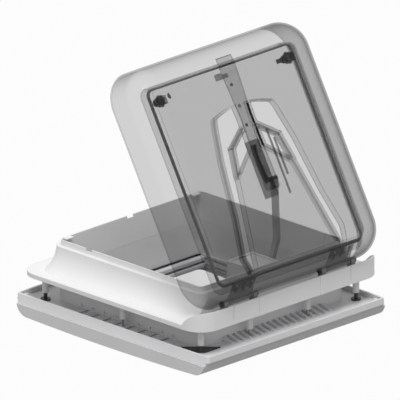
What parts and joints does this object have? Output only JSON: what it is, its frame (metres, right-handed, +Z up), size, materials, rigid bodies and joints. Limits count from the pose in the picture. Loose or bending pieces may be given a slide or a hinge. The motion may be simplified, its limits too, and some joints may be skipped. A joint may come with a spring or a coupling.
{
  "type": "caravan roof vent",
  "caption": "Caravan roof vent with a smoked double dome lifted by a crank and worm gear, over a framed opening with a pull-out blind, a flyscreen and a ceiling trim.",
  "frame": {"origin": "centre of the square roof cut-out, on the outer skin of the roof (the flange's underside)", "axes": "+X along the hinge line, +Y from the hinge side towards the side that opens, +Z up and out of the roof"},
  "size_m": [0.458, 0.4893, 0.5165],
  "materials": {
    "white_frame": "satin white moulded plastic",
    "light_grey_frame": "satin light grey moulded plastic",
    "grey_trim": "satin mid grey moulded plastic",
    "smoked_acrylic": "smoked clear acrylic, polished",
    "clear_acrylic": "lightly smoked clear acrylic, polished",
    "seal_rubber": "translucent smoke-grey silicone rubber",
    "grey_foam": "dark grey closed-cell foam",
    "dark_plastic": "mid to dark grey moulded plastic",
    "black_plastic": "black moulded plastic",
    "steel": "plain steel",
    "brass": "turned brass",
    "nylon": "natural nylon",
    "screen_mesh": "dark woven flyscreen mesh",
    "blind_cloth": "pale coated blind cloth"
  },
  "bodies": {
    "frame": {"outer_frame": "white_frame", "roof_seal": "grey_foam", "side_clip": "white_frame", "inner_frame": "light_grey_frame", "corner_plates": "black_plastic", "clamp_screws": "steel", "ceiling_trim": "grey_trim", "hinge_base_left": "dark_plastic", "hinge_base_right": "dark_plastic", "hinge_pin_left": "steel", "hinge_pin_right": "steel", "gear_housing": "light_grey_frame", "gear_cover": "light_grey_frame", "shaft_bush": "brass", "worm_bush": "brass", "housing_screws": "steel", "crank_console": "light_grey_frame", "side_rail_left": "dark_plastic", "side_rail_right": "dark_plastic", "roller_brackets": "dark_plastic"},
    "dome": {"dome_outer": "smoked_acrylic", "dome_inner": "clear_acrylic", "dome_seal": "seal_rubber", "dome_stiffener": "smoked_acrylic", "hinge_leaf_left": "dark_plastic", "hinge_leaf_right": "dark_plastic", "leaf_screws": "steel", "guide_rail": "dark_plastic", "catch_foot_left": "black_plastic", "catch_foot_right": "black_plastic", "centre_catch": "black_plastic"},
    "arm": {"lift_arm": "dark_plastic", "guide_pin": "steel", "guide_roller": "nylon", "arm_shaft": "steel", "worm_wheel": "nylon"},
    "crank": {"worm": "steel", "crank": "dark_plastic"},
    "knob": {"crank_knob": "black_plastic"},
    "screen": {"screen_bar": "grey_trim", "screen_cloth": "screen_mesh"},
    "blind": {"blind_bar": "grey_trim", "blind_cloth": "blind_cloth"},
    "screen_roll": {"screen_roller": "screen_mesh"},
    "blind_roll": {"blind_roller": "blind_cloth"},
    "catch_left": {"catch_lever_left": "black_plastic"},
    "catch_right": {"catch_lever_right": "black_plastic"}
  },
  "joints": [
    {"name": "dome_hinge", "type": "hinge", "parent": "frame", "child": "dome", "pos_m": [0, -0.2172, 0.0394], "axis": [1, 0, 0], "range_deg": [-60, 0]},
    {"name": "arm_swing", "type": "hinge", "parent": "frame", "child": "arm", "pos_m": [0, -0.143, 0.04], "axis": [1, 0, 0], "range_deg": [-84, 0]},
    {"name": "crank_turn", "type": "hinge", "parent": "frame", "child": "crank", "pos_m": [-0.005, -0.119, 0], "axis": [0, 0, 1], "range_deg": [0, 1848]},
    {"name": "knob_spin", "type": "hinge", "parent": "crank", "child": "knob", "pos_m": [0.022, -0.119, -0.066], "axis": [0, 0, 1], "continuous": true},
    {"name": "screen_slide", "type": "slide", "parent": "frame", "child": "screen", "axis": [0, -1, 0], "range_m": [0, 0.239]},
    {"name": "blind_slide", "type": "slide", "parent": "frame", "child": "blind", "axis": [0, -1, 0], "range_m": [0, 0.239]},
    {"name": "screen_unroll", "type": "hinge", "parent": "frame", "child": "screen_roll", "pos_m": [0, 0.1945, -0.063], "axis": [1, 0, 0], "range_deg": [0, 1803]},
    {"name": "blind_unroll", "type": "hinge", "parent": "frame", "child": "blind_roll", "pos_m": [0, 0.212, -0.063], "axis": [1, 0, 0], "range_deg": [-1803, 0]},
    {"name": "catch_turn_left", "type": "hinge", "parent": "dome", "child": "catch_left", "pos_m": [-0.159, -0.04819, 0.37333], "axis": [0, -0.866, 0.5], "range_deg": [0, 90]},
    {"name": "catch_turn_right", "type": "hinge", "parent": "dome", "child": "catch_right", "pos_m": [0.159, -0.04819, 0.37333], "axis": [0, -0.866, 0.5], "range_deg": [-90, 0]}
  ],
  "couplings": [
    {"joint": "arm_swing", "follows": "dome_hinge", "ratio": 1.4},
    {"joint": "crank_turn", "follows": "dome_hinge", "ratio": -30.8},
    {"joint": "screen_unroll", "follows": "screen_slide", "rad_per_m": 131.58},
    {"joint": "blind_unroll", "follows": "blind_slide", "rad_per_m": -131.58}
  ]
}
